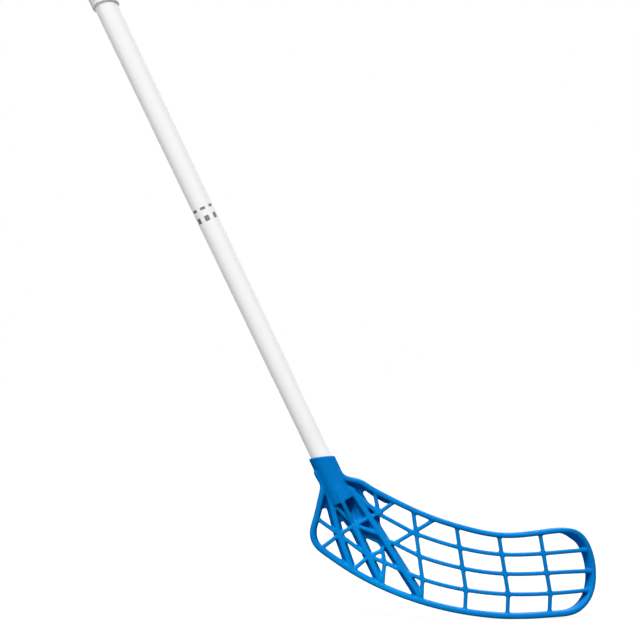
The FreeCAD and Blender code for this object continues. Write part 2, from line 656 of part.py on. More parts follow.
# End cap: a head that covers the ends of the tube and the grip, and a hollow plug inside the tube.
CAP_OUTSIDE = GRIP_OUTSIDE + " + sizes.cap_proud"
CAP_TOP = TUBE_TOP + " + sizes.cap_thick"
end_cap = revolved_body("end_cap", [
    ("0", CAP_TOP),
    (CAP_OUTSIDE + " - sizes.cap_round", CAP_TOP),
    (CAP_OUTSIDE, CAP_TOP + " - sizes.cap_round"),
    (CAP_OUTSIDE, TUBE_TOP),
    ("sizes.grip_dia / 2 - sizes.tube_wall", TUBE_TOP),
    ("sizes.grip_dia / 2 - sizes.tube_wall", TUBE_TOP + " - sizes.plug_length"),
    ("sizes.grip_dia / 2 - sizes.tube_wall - sizes.plug_wall", TUBE_TOP + " - sizes.plug_length"),
    ("sizes.grip_dia / 2 - sizes.tube_wall - sizes.plug_wall", TUBE_TOP),
    ("0", TUBE_TOP),
])
place_on_axis(end_cap)

# Every object must have been made, and every piece must be one sound shape, before anything is written.
doc.recompute()
for item in doc.Objects:
    if "Invalid" in item.State or "Error" in item.State:
        raise RuntimeError(f"{item.Label} was not made: {item.State}")
os.makedirs("parts", exist_ok=True)
pieces = [shaft, blade, socket_adhesive, blade_screws, grip_wrap, end_cap]
for piece in pieces:
    if piece.Shape.isNull() or not piece.Shape.isValid():
        raise RuntimeError(f"{piece.Label} has no sound shape")
for piece in pieces:
    piece.Shape.exportStep(f"parts/{piece.Label}.step")
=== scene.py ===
import math

import bmesh
import bpy
import numpy as np
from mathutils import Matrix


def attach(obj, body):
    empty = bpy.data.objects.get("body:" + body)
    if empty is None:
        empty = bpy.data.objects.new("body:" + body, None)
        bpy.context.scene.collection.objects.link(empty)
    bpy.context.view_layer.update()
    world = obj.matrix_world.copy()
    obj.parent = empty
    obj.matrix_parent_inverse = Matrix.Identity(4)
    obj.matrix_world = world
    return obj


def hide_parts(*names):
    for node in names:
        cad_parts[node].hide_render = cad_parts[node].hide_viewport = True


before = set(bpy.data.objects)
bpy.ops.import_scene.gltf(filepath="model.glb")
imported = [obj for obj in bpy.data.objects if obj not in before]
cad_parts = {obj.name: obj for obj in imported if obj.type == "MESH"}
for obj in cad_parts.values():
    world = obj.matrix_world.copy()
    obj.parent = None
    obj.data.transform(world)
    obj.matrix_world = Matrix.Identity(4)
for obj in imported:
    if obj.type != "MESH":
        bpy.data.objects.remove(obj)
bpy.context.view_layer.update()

# Shaft: a hollow tube wound from glass and carbon fibre, straight in the socket, tapered to the grip and
# straight under it.  It is sprayed with white lacquer, on which two rings of dashes are printed.  It leans
# back over the heel, and heights are measured up its axis from the point where that axis meets the floor.
LEAN = math.radians(25.55)
AXIS_FOOT = np.array([-0.1273, 0.0, 0.0])
AXIS_UP = np.array([-math.sin(LEAN), 0.0, math.cos(LEAN)])
AXIS_SIDE = np.array([math.cos(LEAN), 0.0, math.sin(LEAN)])
AXIS_BACK = np.array([0.0, 1.0, 0.0])
TUBE_SEAT = 0.139
TUBE_LENGTH = 0.960
TUBE_TOP = TUBE_SEAT + TUBE_LENGTH
TIP_LENGTH = 0.065
TAPER_LENGTH = 0.480
TAPER_START = TUBE_SEAT + TIP_LENGTH
TAPER_END = TAPER_START + TAPER_LENGTH
TIP_RADIUS = 0.01065
GRIP_RADIUS = 0.012
TUBE_WALL = 0.0013
SHAFT_SEGMENTS = 96
TIP_ROWS = 8
TAPER_ROWS = 49
GRIP_ROWS = 40
POLE_MERGE = 1e-7


def turns(count):
    """Angles in so many even steps round a full turn, which ends one step before its start."""
    return np.linspace(0, 2 * math.pi, count, endpoint=False)


def around_axis(radius, angle, height):
    """Points at a radius, an angle from the toe side towards the back, and a height up the shaft's axis."""
    radius, angle, height = np.broadcast_arrays(radius, angle, height)
    across = AXIS_SIDE * np.cos(angle)[..., None] + AXIS_BACK * np.sin(angle)[..., None]
    return AXIS_FOOT + AXIS_UP * height[..., None] + across * radius[..., None]


def grid_piece(name, points, uv=None, close_rows=False, close_columns=False):
    """A mesh over a grid of points, of shape rows x columns x 3, with a face between each four neighbours.

    A closed direction joins its last line to its first, and one more dimension in front gives like copies.
    uv has one pair for each grid corner, with one more line in a closed direction, so that it doesn't fold
    back.  A line whose points all meet in a pole is merged, which closes the mesh there.
    """
    rows, columns = points.shape[-3:-1]
    r = np.arange(rows if close_rows else rows - 1)[:, None]
    c = np.arange(columns if close_columns else columns - 1)[None, :]
    corners = [(r, c), (r, c + 1), (r + 1, c + 1), (r + 1, c)]
    faces = np.stack([(a % rows) * columns + (b % columns) for a, b in corners], axis=-1).reshape(-1, 4)
    starts = np.arange(0, points.size // 3, rows * columns)
    faces = (faces + starts[:, None, None]).reshape(-1, 4)
    mesh = bpy.data.meshes.new(name)
    mesh.from_pydata(points.reshape(-1, 3), [], faces)
    if uv is not None:
        loops = np.stack([uv[a + 0 * b, b + 0 * a] for a, b in corners], axis=2).reshape(-1, 2)
        layer = mesh.uv_layers.new(name="UVMap")
        layer.data.foreach_set("uv", loops.astype(np.float32).ravel())
    welded = bmesh.new()
    welded.from_mesh(mesh)
    bmesh.ops.remove_doubles(welded, verts=welded.verts, dist=POLE_MERGE)
    welded.to_mesh(mesh)
    welded.free()
    mesh.polygons.foreach_set("use_smooth", np.ones(len(mesh.polygons), bool))
    mesh.update()
    piece = bpy.data.objects.new(name, mesh)
    bpy.context.scene.collection.objects.link(piece)
    return piece


def shaft_radius(height):
    """Outside radius at a height: even to the taper's start, rising evenly along it, then even again."""
    return np.interp(height, [TAPER_START, TAPER_END], [TIP_RADIUS, GRIP_RADIUS])


shaft_heights = np.concatenate([
    np.linspace(TUBE_SEAT, TAPER_START, TIP_ROWS), np.linspace(TAPER_START, TAPER_END, TAPER_ROWS)[1:],
    np.linspace(TAPER_END, TUBE_TOP, GRIP_ROWS)[1:],
])
wall_heights = np.concatenate([shaft_heights, shaft_heights[::-1]])
wall_radii = shaft_radius(wall_heights)
wall_radii[len(shaft_heights):] -= TUBE_WALL
shaft_points = around_axis(wall_radii[:, None], turns(SHAFT_SEGMENTS), wall_heights[:, None])
uv_heights = np.append(wall_heights, wall_heights[0])
shaft_uv = np.stack(np.meshgrid(np.linspace(0, 1, SHAFT_SEGMENTS + 1), uv_heights), axis=-1)
shaft = grid_piece("shaft_tube", shaft_points, shaft_uv, close_rows=True, close_columns=True)


def linear(hex_colour):
    """An sRGB hex colour as linear red, green, blue and alpha."""
    shares = [int(hex_colour[i:i + 2], 16) / 255 for i in (1, 3, 5)]
    return [s / 12.92 if s <= 0.04045 else ((s + 0.055) / 1.055) ** 2.4 for s in shares] + [1.0]


def node(tree, kind, sockets=None, **settings):
    """Add a node of a kind, with its settings and values by name, and fill its sockets by name or number.

    A socket takes another node's output, which is linked to it, or a number, a vector or an sRGB hex colour.
    """
    item = tree.nodes.new(kind)
    for name, value in settings.items():
        if hasattr(item, name):
            setattr(item, name, value)
        else:
            item.inputs[name.replace("_", " ")].default_value = value
    for socket, source in (sockets or {}).items():
        if isinstance(source, bpy.types.NodeSocket):
            tree.links.new(source, item.inputs[socket])
        else:
            item.inputs[socket].default_value = linear(source) if isinstance(source, str) else source
    return item


def new_material(name):
    """An empty node material and its tree."""
    material = bpy.data.materials.new(name)
    material.use_nodes = True
    material.node_tree.nodes.clear()
    return material, material.node_tree


# Two-pack polyurethane lacquer, sprayed and baked: smooth and glossy, with a faint orange peel in swells of
# 2.4 mm.  Each ring has a height up the axis, a width and the share of a turn that its dashes take up.  Their
# dark ink carries a painted sheen: it is painted paler from the heel side towards the front, between two
# shares of a turn, which stands in for light reflected by the silver print.
PEEL_SWELL = 0.00238
MIST_CLOUD = 0.0357
RING_DASHES = 7
RING_PHASE = 0.225
RINGS = ((0.4773, 0.0030, 0.55), (0.4661, 0.0060, 0.50))
DASH_MIDDLE = 0.5
INK_SHEEN_TURNS = (0.58, 0.74)
lacquer, tree = new_material("white_polyurethane_lacquer")
place = node(tree, "ShaderNodeTexCoord")
unwound = node(tree, "ShaderNodeSeparateXYZ", {0: place.outputs["UV"]})
peel = node(tree, "ShaderNodeTexNoise", {"Vector": place.outputs["Object"]}, Scale=1 / PEEL_SWELL, Detail=2.0)
peel_bump = node(tree, "ShaderNodeBump", {"Height": peel.outputs["Fac"]}, Strength=0.05, Distance=0.0002)
mist = node(tree, "ShaderNodeTexNoise", {"Vector": place.outputs["Object"]}, Scale=1 / MIST_CLOUD, Detail=3.0)
paint = node(tree, "ShaderNodeMix", {"Factor": mist.outputs["Fac"], 6: "#F9F9F9", 7: "#F4F4F5"},
             data_type="RGBA")
dash_count = node(tree, "ShaderNodeMath", {0: unwound.outputs["X"], 1: RING_DASHES, 2: RING_PHASE},
                  operation="MULTIPLY_ADD")
dash_part = node(tree, "ShaderNodeMath", {0: dash_count.outputs[0]}, operation="FRACT")
inked = 0.0
for ring_height, ring_width, dash_share in RINGS:
    in_ring = node(tree, "ShaderNodeMath", {0: unwound.outputs["Y"], 1: ring_height, 2: ring_width / 2},
                   operation="COMPARE")
    in_dash = node(tree, "ShaderNodeMath", {0: dash_part.outputs[0], 1: DASH_MIDDLE, 2: dash_share / 2},
                   operation="COMPARE")
    in_both = node(tree, "ShaderNodeMath", {0: in_ring.outputs[0], 1: in_dash.outputs[0]},
                   operation="MULTIPLY")
    inked = node(tree, "ShaderNodeMath", {0: inked, 1: in_both.outputs[0]}, operation="MAXIMUM").outputs[0]
# Painted sheen: the ink is painted paler towards the front, in place of light reflected by its silver print.
painted_sheen = node(tree, "ShaderNodeMapRange", {"Value": unwound.outputs["X"]},
              From_Min=INK_SHEEN_TURNS[0], From_Max=INK_SHEEN_TURNS[1])
ink_and_painted_sheen = node(tree, "ShaderNodeMix", {"Factor": painted_sheen.outputs["Result"], 6: "#3A3B3D", 7: "#7B7C7E"},
           data_type="RGBA")
printed_with_painted_sheen = node(tree, "ShaderNodeMix", {"Factor": inked, 6: paint.outputs[2], 7: ink_and_painted_sheen.outputs[2]},
               data_type="RGBA")
gloss = node(tree, "ShaderNodeBsdfPrincipled",
             {"Base Color": printed_with_painted_sheen.outputs[2], "Normal": peel_bump.outputs["Normal"]},
             Roughness=0.32, IOR=1.5, Specular_IOR_Level=0.4, Coat_Weight=0.35, Coat_Roughness=0.12)
node(tree, "ShaderNodeOutputMaterial", {"Surface": gloss.outputs["BSDF"]})
shaft.data.materials.append(lacquer)
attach(shaft, "root")
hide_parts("shaft")

# Blade: one injection moulding in polymer, with its socket, rim, struts, lattice and web in one piece, glued
# and screwed to the shaft's lower end.  The mould's edges and inner corners are all rounded.
CAD_MERGE = 1e-6
VOXEL = 0.00062
SWELL = 0.0004
DRAWN_BACK = 0.0001
ROUNDING_STEPS = 6
ROUNDING_SHARE = 0.5
BLADE_TRIANGLES = 185000
GLUE_GAP = 0.00035
BORE_RADIUS = TIP_RADIUS + GLUE_GAP
BORE_FILLET = 0.0006
BOSS_FACE = 0.0136

# The piece is the CAD form swollen, melted together, drawn back by a part of that, which leaves a fillet in
# each corner, and smoothed.  The glue's bore, the screws' bosses and the outer box keep their true sizes.
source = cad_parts["blade"].data.copy()
blade = bpy.data.objects.new("blade_moulding", source)
bpy.context.scene.collection.objects.link(blade)
weld = blade.modifiers.new("weld", "WELD")
weld.merge_threshold = CAD_MERGE
for step, move in (("melt", SWELL), ("draw", -DRAWN_BACK), ("settle", 0.0)):
    remesh = blade.modifiers.new(step, "REMESH")
    remesh.mode = "VOXEL"
    remesh.voxel_size = VOXEL
    displace = blade.modifiers.new(step + "_by", "DISPLACE")
    displace.mid_level = 0.0
    displace.strength = move
rounding = blade.modifiers.new("rounding", "SMOOTH")
rounding.factor = ROUNDING_SHARE
rounding.iterations = ROUNDING_STEPS
blade.modifiers.new("triangles", "TRIANGULATE")
depsgraph = bpy.context.evaluated_depsgraph_get()
count = len(blade.evaluated_get(depsgraph).data.polygons)
thin = blade.modifiers.new("thin", "DECIMATE")
thin.ratio = min(1.0, BLADE_TRIANGLES / count)
depsgraph = bpy.context.evaluated_depsgraph_get()
moulded = bpy.data.meshes.new_from_object(blade.evaluated_get(depsgraph))
blade.modifiers.clear()
blade.data = moulded


def points_of(mesh):
    """The mesh's points as an array with three columns."""
    points = np.empty(len(mesh.vertices) * 3)
    mesh.vertices.foreach_get("co", points)
    return points.reshape(-1, 3)


true_points = points_of(source)
blade_points = np.clip(points_of(moulded), true_points.min(axis=0), true_points.max(axis=0))
axis_height = (blade_points - AXIS_FOOT) @ AXIS_UP
in_socket = axis_height > TUBE_SEAT
blade_points[in_socket, 1] = np.minimum(blade_points[in_socket, 1], BOSS_FACE)
from_axis = blade_points - AXIS_FOOT - axis_height[:, None] * AXIS_UP
axis_distance = np.linalg.norm(from_axis, axis=1)
in_bore = (axis_height > TUBE_SEAT + BORE_FILLET) & (axis_distance < BORE_RADIUS)
blade_points[in_bore] += from_axis[in_bore] * (BORE_RADIUS / axis_distance[in_bore] - 1)[:, None]
moulded.vertices.foreach_set("co", blade_points.ravel())
moulded.update()
moulded.materials.clear()
moulded.polygons.foreach_set("use_smooth", np.ones(len(moulded.polygons), bool))

# Polypropylene, dyed through and moulded against a finely spark-eroded steel: satin where it faces forward
# and up, and dull on the walls of the ribs, so that their colour stays deep.  The dye flows in marks of
# 22 mm, and the grain is drawn 0.6 mm wide, which is coarser than a real one, so that it shows.
FLOW_MARK = 0.0222
GRAIN_WIDTH = 0.000625
FORWARD_UP = (0.0, -0.75, 0.66)
polymer, tree = new_material("blue_moulded_polypropylene")
place = node(tree, "ShaderNodeTexCoord")
flow = node(tree, "ShaderNodeTexNoise", {"Vector": place.outputs["Object"]}, Scale=1 / FLOW_MARK, Detail=4.0)
dye = node(tree, "ShaderNodeMix", {"Factor": flow.outputs["Fac"], 6: "#006CBA", 7: "#0076C5"},
           data_type="RGBA")
grain = node(tree, "ShaderNodeTexNoise", {"Vector": place.outputs["Object"]},
             Scale=1 / GRAIN_WIDTH, Detail=2.0)
grain_bump = node(tree, "ShaderNodeBump", {"Height": grain.outputs["Fac"]}, Strength=0.12, Distance=0.0002)
shine = node(tree, "ShaderNodeMapRange", {"Value": flow.outputs["Fac"]}, To_Min=0.34, To_Max=0.42)
outward = node(tree, "ShaderNodeVectorMath", {0: place.outputs["Normal"], 1: FORWARD_UP},
               operation="DOT_PRODUCT")
polish = node(tree, "ShaderNodeMapRange", {"Value": outward.outputs["Value"]},
              From_Min=0.5, From_Max=0.8, To_Min=0.0, To_Max=0.05)
satin = node(tree, "ShaderNodeBsdfPrincipled",
             {"Base Color": dye.outputs[2], "Roughness": shine.outputs["Result"],
              "Specular IOR Level": polish.outputs["Result"], "Normal": grain_bump.outputs["Normal"]},
             IOR=1.49)
node(tree, "ShaderNodeOutputMaterial", {"Surface": satin.outputs["BSDF"]})
moulded.materials.append(polymer)
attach(blade, "root")
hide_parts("blade")

# Socket adhesive: a sleeve of hot-melt glue, poured into the socket before the shaft is pushed home.  It is
# the CAD form, and only its ring in the socket's mouth can be seen: amber and waxy, with a haze in clouds of
# 5.6 mm.
HAZE_CLOUD = 0.00556
glue, tree = new_material("hot_melt_adhesive")
place = node(tree, "ShaderNodeTexCoord")
haze = node(tree, "ShaderNodeTexNoise", {"Vector": place.outputs["Object"]}, Scale=1 / HAZE_CLOUD, Detail=3.0)
amber = node(tree, "ShaderNodeMix", {"Factor": haze.outputs["Fac"], 6: "#D9C27E", 7: "#EAD9A6"},
             data_type="RGBA")
ripple = node(tree, "ShaderNodeBump", {"Height": haze.outputs["Fac"]}, Strength=0.2, Distance=0.0003)
waxy = node(tree, "ShaderNodeBsdfPrincipled",
            {"Base Color": amber.outputs[2], "Normal": ripple.outputs["Normal"]}, Roughness=0.38, IOR=1.48)
node(tree, "ShaderNodeOutputMaterial", {"Surface": waxy.outputs["BSDF"]})
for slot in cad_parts["socket_adhesive"].material_slots:
    slot.material = glue

# Blade screws: two self-tapping pan-head screws in bright zinc, driven through the socket's back into the
# shaft.  Each head has a cross recess and sits on a raised boss.
SCREW_HEIGHTS = np.array([0.152, 0.171])
HEAD_RADIUS = 0.0028
HEAD_THICK = 0.0017
HEAD_EDGE = 0.42
SHANK_RADIUS = 0.00145
SHANK_LENGTH = 0.0075
POINT_START = 0.7
POINT_SHARE = 0.3
RECESS_REACH = 0.0016
RECESS_TIP = 0.8
RECESS_HALF = 0.00036
RECESS_SLOPE = 1.7
RECESS_DEPTH = 0.0011
SCREW_SEGMENTS = 64
HEAD_ROWS = 40


def smooth_step(value, low, high):
    """0 below low, 1 above high, and 3t^2 - 2t^3 between them."""
    share = np.clip((value - low) / (high - low), 0, 1)
    return share * share * (3 - 2 * share)


def screw_head(turn, rim_share):
    """Distance from the screw's axis and rise above its seat, over the turn and the share of the radius.

    The head's dome is (1 - share^4) of its rise over a straight edge.  The cross recess takes its depth away
    where the nearer of the two arms' centre lines is within half an arm's width.
    """
    radius = HEAD_RADIUS * rim_share[:, None] + 0 * turn
    dome = HEAD_THICK * (HEAD_EDGE + (1 - HEAD_EDGE) * (1 - rim_share[:, None] ** 4))
    side_a = np.abs(radius * np.cos(turn))
    side_b = np.abs(radius * np.sin(turn))
    arm = 1 - smooth_step(np.minimum(side_a, side_b), RECESS_HALF, RECESS_HALF * RECESS_SLOPE)
    reach = 1 - smooth_step(np.maximum(side_a, side_b), RECESS_REACH * RECESS_TIP, RECESS_REACH)
    return radius, dome - RECESS_DEPTH * arm * reach


screw_turn = turns(SCREW_SEGMENTS)
head_radius, head_rise = screw_head(screw_turn, np.linspace(0, 1, HEAD_ROWS))
shank = np.array([
    (HEAD_RADIUS, 0.0), (SHANK_RADIUS, 0.0), (SHANK_RADIUS, -SHANK_LENGTH * POINT_START),
    (SHANK_RADIUS * POINT_SHARE, -SHANK_LENGTH), (0.0, -SHANK_LENGTH),
])
screw_radius = np.concatenate([head_radius, shank[:, :1] + 0 * screw_turn])
screw_rise = np.concatenate([head_rise, shank[:, 1:] + 0 * screw_turn])
screw_points = (AXIS_FOOT + AXIS_BACK * (BOSS_FACE + screw_rise[..., None])
                + AXIS_SIDE * (screw_radius * np.cos(screw_turn))[..., None]
                + AXIS_UP * (screw_radius * np.sin(screw_turn))[..., None])
screw_pair = screw_points[None] + AXIS_UP * SCREW_HEIGHTS[:, None, None, None]
screws = grid_piece("zinc_screws", screw_pair, close_columns=True)

# Bright zinc plate on steel: a grey metal with a slightly uneven, soft shine in spots of 1.1 mm.
PLATE_SPOT = 0.00111
zinc, tree = new_material("zinc_plated_steel")
place = node(tree, "ShaderNodeTexCoord")
plate = node(tree, "ShaderNodeTexNoise", {"Vector": place.outputs["Object"]},
             Scale=1 / PLATE_SPOT, Detail=3.0)
tone = node(tree, "ShaderNodeMix", {"Factor": plate.outputs["Fac"], 6: "#A9ACB0", 7: "#C6C8CA"},
            data_type="RGBA")
wear = node(tree, "ShaderNodeMapRange", {"Value": plate.outputs["Fac"]}, To_Min=0.24, To_Max=0.42)
metal = node(tree, "ShaderNodeBsdfPrincipled",
             {"Base Color": tone.outputs[2], "Roughness": wear.outputs["Result"]}, Metallic=1.0)
node(tree, "ShaderNodeOutputMaterial", {"Surface": metal.outputs["BSDF"]})
screws.data.materials.append(zinc)
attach(screws, "root")
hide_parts("blade_screws")

# Grip: soft perforated polyurethane tape, wound up the shaft edge to edge and stretched, so that each turn
# is crowned and its edge leaves a seam.  Its lower end is trimmed at a slant and pressed thin.  The seam runs
# in and out over parts of a turn above the foot and below the top.
WRAP_PITCH = 0.026
WRAP_THICK = 0.0019
WRAP_LENGTH = 0.3955
WRAP_FOOT = TUBE_TOP - WRAP_LENGTH
WRAP_SLANT = math.tan(math.radians(9.4))
WRAP_GAP = 0.00002
SEAM_DEPTH = 0.0006
SEAM_HALF = 0.0011
SEAM_IN = (0.6, 1.1)
SEAM_OUT = (0.2, 0.7)
CROWN = 0.00012
HEM_RISE = 0.0054
HEM_LENGTH = 0.0015
HEM_SHARE = 0.35
HEM_ROWS = 8
HEM_PART = 0.006
WRAP_ROWS = 820
WRAP_SEGMENTS = 84


def wrap_foot(turn):
    """Height of the tape's lower edge: a plane that dips to the toe side and, more, to the back."""
    outside = GRIP_RADIUS + WRAP_THICK
    return WRAP_FOOT + outside * WRAP_SLANT * (1 - np.cos(turn)) + HEM_RISE * (1 - np.sin(turn))


def wrap_across(turn, height):
    """Distance across the tape in widths, which grows by 1 from each seam to the next one above it."""
    return (height - WRAP_FOOT) / WRAP_PITCH - turn / (2 * math.pi)


def wrap_radius(turn, height):
    """Outside radius: the sleeve, less the crown's fall and the seam's groove, pressed thin at the hem."""
    across = wrap_across(turn, height)
    from_seam = np.abs(across - np.round(across)) * WRAP_PITCH
    seam = SEAM_DEPTH * np.exp(-(from_seam / SEAM_HALF) ** 2)
    seam = seam * smooth_step((height - WRAP_FOOT) / WRAP_PITCH, *SEAM_IN)
    seam = seam * smooth_step((TUBE_TOP - height) / WRAP_PITCH, *SEAM_OUT)
    crown = CROWN * (1 - 2 * from_seam / WRAP_PITCH) ** 2
    pressed = smooth_step(height - wrap_foot(turn), 0.0, HEM_LENGTH)
    return GRIP_RADIUS + (WRAP_THICK - crown - seam) * (HEM_SHARE + (1 - HEM_SHARE) * pressed)


wrap_turn = turns(WRAP_SEGMENTS)
hem_steps = np.linspace(0, 1, HEM_ROWS, endpoint=False) ** 2 * HEM_PART
rise = np.concatenate([hem_steps, np.linspace(HEM_PART, 1, WRAP_ROWS)])
outer_heights = wrap_foot(wrap_turn) + rise[:, None] * (TUBE_TOP - wrap_foot(wrap_turn))
inner_heights = outer_heights[[-1, 0]]
wrap_heights = np.concatenate([outer_heights, inner_heights])
inner = np.full(inner_heights.shape, GRIP_RADIUS + WRAP_GAP)
wrap_radii = np.concatenate([wrap_radius(wrap_turn, outer_heights), inner])
wrap_points = around_axis(wrap_radii, wrap_turn, wrap_heights)
uv_heights = np.concatenate([wrap_heights, wrap_heights[:1]])
uv_heights = np.concatenate([uv_heights, uv_heights[:, :1]], axis=1)
uv_turn = np.linspace(0, 2 * math.pi, WRAP_SEGMENTS + 1)
uv_across = wrap_across(uv_turn, uv_heights)
wrap_uv = np.stack([uv_turn / (2 * math.pi) + 0 * uv_across, uv_across], axis=-1)
wrap = grid_piece("grip_tape", wrap_points, wrap_uv, close_rows=True, close_columns=True)

# Polyurethane foam tape with a smooth skin and rows of punched holes: matt, soft and slightly leathery, with
# a grain of 1.4 mm.  The holes are drawn 1.5 mm wide, in steps of 4.85 mm and rows 4.33 mm apart, which is
# coarser than real ones, so that they show.  They are painted a darker grey, which is painted shade in their
# hollows.
HOLE_STEP = 0.00485
HOLE_ROW = 0.00433
HOLES_ROUND = round(2 * math.pi * (GRIP_RADIUS + WRAP_THICK) / HOLE_STEP)
ROWS_ACROSS = round(WRAP_PITCH / HOLE_ROW)
HOLE_STAGGER = 0.5
HOLE_MIDDLE = (0.5, 0.5, 0.0)
HOLE_EDGE = (0.13, 0.2)
HIDE_GRAIN = 0.00143
HIDE_SHARE = 0.15
tape, tree = new_material("perforated_polyurethane_tape")
place = node(tree, "ShaderNodeTexCoord")
unwound = node(tree, "ShaderNodeSeparateXYZ", {0: place.outputs["UV"]})
row = node(tree, "ShaderNodeMath", {0: unwound.outputs["Y"], 1: ROWS_ACROSS}, operation="MULTIPLY")
row_number = node(tree, "ShaderNodeMath", {0: row.outputs[0]}, operation="FLOOR")
row_part = node(tree, "ShaderNodeMath", {0: row.outputs[0]}, operation="FRACT")
shift = node(tree, "ShaderNodeMath", {0: row_number.outputs[0], 1: HOLE_STAGGER}, operation="MULTIPLY")
hole = node(tree, "ShaderNodeMath", {0: unwound.outputs["X"], 1: HOLES_ROUND, 2: shift.outputs[0]},
            operation="MULTIPLY_ADD")
hole_part = node(tree, "ShaderNodeMath", {0: hole.outputs[0]}, operation="FRACT")
cell = node(tree, "ShaderNodeCombineXYZ", {"X": hole_part.outputs[0], "Y": row_part.outputs[0]})
from_hole = node(tree, "ShaderNodeVectorMath", {0: cell.outputs[0], 1: HOLE_MIDDLE}, operation="DISTANCE")
unpunched = node(tree, "ShaderNodeMapRange", {"Value": from_hole.outputs["Value"]},
                 From_Min=HOLE_EDGE[0], From_Max=HOLE_EDGE[1])
hide = node(tree, "ShaderNodeTexNoise", {"Vector": place.outputs["Object"]}, Scale=1 / HIDE_GRAIN, Detail=4.0)
soft = node(tree, "ShaderNodeMix", {"Factor": hide.outputs["Fac"], 6: "#F0F0F0", 7: "#F8F8F8"},
            data_type="RGBA")
# Painted shade: the holes are painted a darker grey, in place of the shade inside them.
skin_and_hole_shade = node(tree, "ShaderNodeMix", {"Factor": unpunched.outputs["Result"], 6: "#C9C9CA", 7: soft.outputs[2]},
            data_type="RGBA")
relief = node(tree, "ShaderNodeMath",
              {0: hide.outputs["Fac"], 1: HIDE_SHARE, 2: unpunched.outputs["Result"]},
              operation="MULTIPLY_ADD")
dimple = node(tree, "ShaderNodeBump", {"Height": relief.outputs[0]}, Strength=0.3, Distance=0.0004)
matt = node(tree, "ShaderNodeBsdfPrincipled",
            {"Base Color": skin_and_hole_shade.outputs[2], "Normal": dimple.outputs["Normal"]},
            Roughness=0.66, IOR=1.5, Specular_IOR_Level=0.3)
node(tree, "ShaderNodeOutputMaterial", {"Surface": matt.outputs["BSDF"]})
wrap.data.materials.append(tape)
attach(wrap, "root")
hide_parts("grip_wrap")

# End cap: a moulded plug pushed into the top of the tube, with a rounded head that covers the grip's end.
# Its top is slightly dished, with a fine groove round the dish.
CAP_RADIUS = 0.0145
CAP_THICK = 0.008
CAP_ROUND = 0.002
CAP_BEVEL = 0.0004
PLUG_RADIUS = GRIP_RADIUS - TUBE_WALL
PLUG_WALL = 0.002
PLUG_LENGTH = 0.030
PLUG_BEVEL = 0.001
DISH_DEPTH = 0.0007
DISH_EDGE = (0.0082, 0.0098)
GROOVE_DEPTH = 0.0003
GROOVE_RADIUS = 0.0112
GROOVE_HALF = 0.0004
DISH_ROWS = 34
ROUND_ROWS = 10
CAP_SEGMENTS = 96
dish_radius = np.linspace(0.0, CAP_RADIUS - CAP_ROUND, DISH_ROWS)
dish_fall = DISH_DEPTH * (1 - smooth_step(dish_radius, *DISH_EDGE))
dish_fall += GROOVE_DEPTH * np.exp(-((dish_radius - GROOVE_RADIUS) / GROOVE_HALF) ** 2)
bend = np.linspace(math.pi / 2, 0, ROUND_ROWS + 1)[1:]
round_radius = CAP_RADIUS - CAP_ROUND * (1 - np.cos(bend))
round_height = CAP_THICK - CAP_ROUND * (1 - np.sin(bend))
cap_profile = np.concatenate([
    np.stack([dish_radius, CAP_THICK - dish_fall], axis=-1),
    np.stack([round_radius, round_height], axis=-1),
    np.array([
        (CAP_RADIUS, CAP_BEVEL), (CAP_RADIUS - CAP_BEVEL, 0.0), (PLUG_RADIUS, 0.0),
        (PLUG_RADIUS, PLUG_BEVEL - PLUG_LENGTH), (PLUG_RADIUS - PLUG_BEVEL, -PLUG_LENGTH),
        (PLUG_RADIUS - PLUG_WALL, -PLUG_LENGTH), (PLUG_RADIUS - PLUG_WALL, 0.0), (0.0, 0.0),
    ]),
])[::-1]
cap_points = around_axis(cap_profile[:, :1], turns(CAP_SEGMENTS), TUBE_TOP + cap_profile[:, 1:])
cap = grid_piece("cap_plug", cap_points, close_columns=True)

# Thermoplastic rubber, moulded against an etched steel: off-white and dull, with a blush in clouds of 8.3 mm.
# Its even grain is drawn 0.7 mm wide, which is coarser than a real one, so that it shows.
ETCH_GRAIN = 0.000667
BLUSH_CLOUD = 0.00833
rubber, tree = new_material("white_thermoplastic_rubber")
place = node(tree, "ShaderNodeTexCoord")
etch = node(tree, "ShaderNodeTexNoise", {"Vector": place.outputs["Object"]}, Scale=1 / ETCH_GRAIN, Detail=2.0)
etch_bump = node(tree, "ShaderNodeBump", {"Height": etch.outputs["Fac"]}, Strength=0.25, Distance=0.0002)
blush = node(tree, "ShaderNodeTexNoise", {"Vector": place.outputs["Object"]},
             Scale=1 / BLUSH_CLOUD, Detail=2.0)
chalk = node(tree, "ShaderNodeMix", {"Factor": blush.outputs["Fac"], 6: "#CBCBCC", 7: "#D4D4D5"},
             data_type="RGBA")
dull = node(tree, "ShaderNodeBsdfPrincipled",
            {"Base Color": chalk.outputs[2], "Normal": etch_bump.outputs["Normal"]},
            Roughness=0.55, IOR=1.5, Specular_IOR_Level=0.35)
node(tree, "ShaderNodeOutputMaterial", {"Surface": dull.outputs["BSDF"]})
cap.data.materials.append(rubber)
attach(cap, "root")
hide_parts("end_cap")

# The stage: a pale floor under the stick, a soft key over the camera's left, a second lamp from behind, spots
# on the blade's heel, on its toe and along the shaft, and a white surround.
FLOOR_X = (-9.0, 9.0)
FLOOR_Y = (-5.0, 13.0)
FLOOR_DROP = 0.0004
FLOOR_GLOW = 0.84
ROOM_LIGHT = 0.32
SPOT_SIZE = 0.06
WHITE = "#FFFFFF"
WARM = "#FFEEC4"


def seen_directly(tree):
    """1 for a ray from the camera, a shiny surface or a clear body, and 0 for one that gathers light."""
    ray = node(tree, "ShaderNodeLightPath")
    first = node(tree, "ShaderNodeMath", {0: ray.outputs["Is Camera Ray"], 1: ray.outputs["Is Glossy Ray"]},
                 operation="MAXIMUM")
    direct = node(tree, "ShaderNodeMath", {0: first.outputs[0], 1: ray.outputs["Is Transmission Ray"]},
                  operation="MAXIMUM")
    return direct.outputs[0]


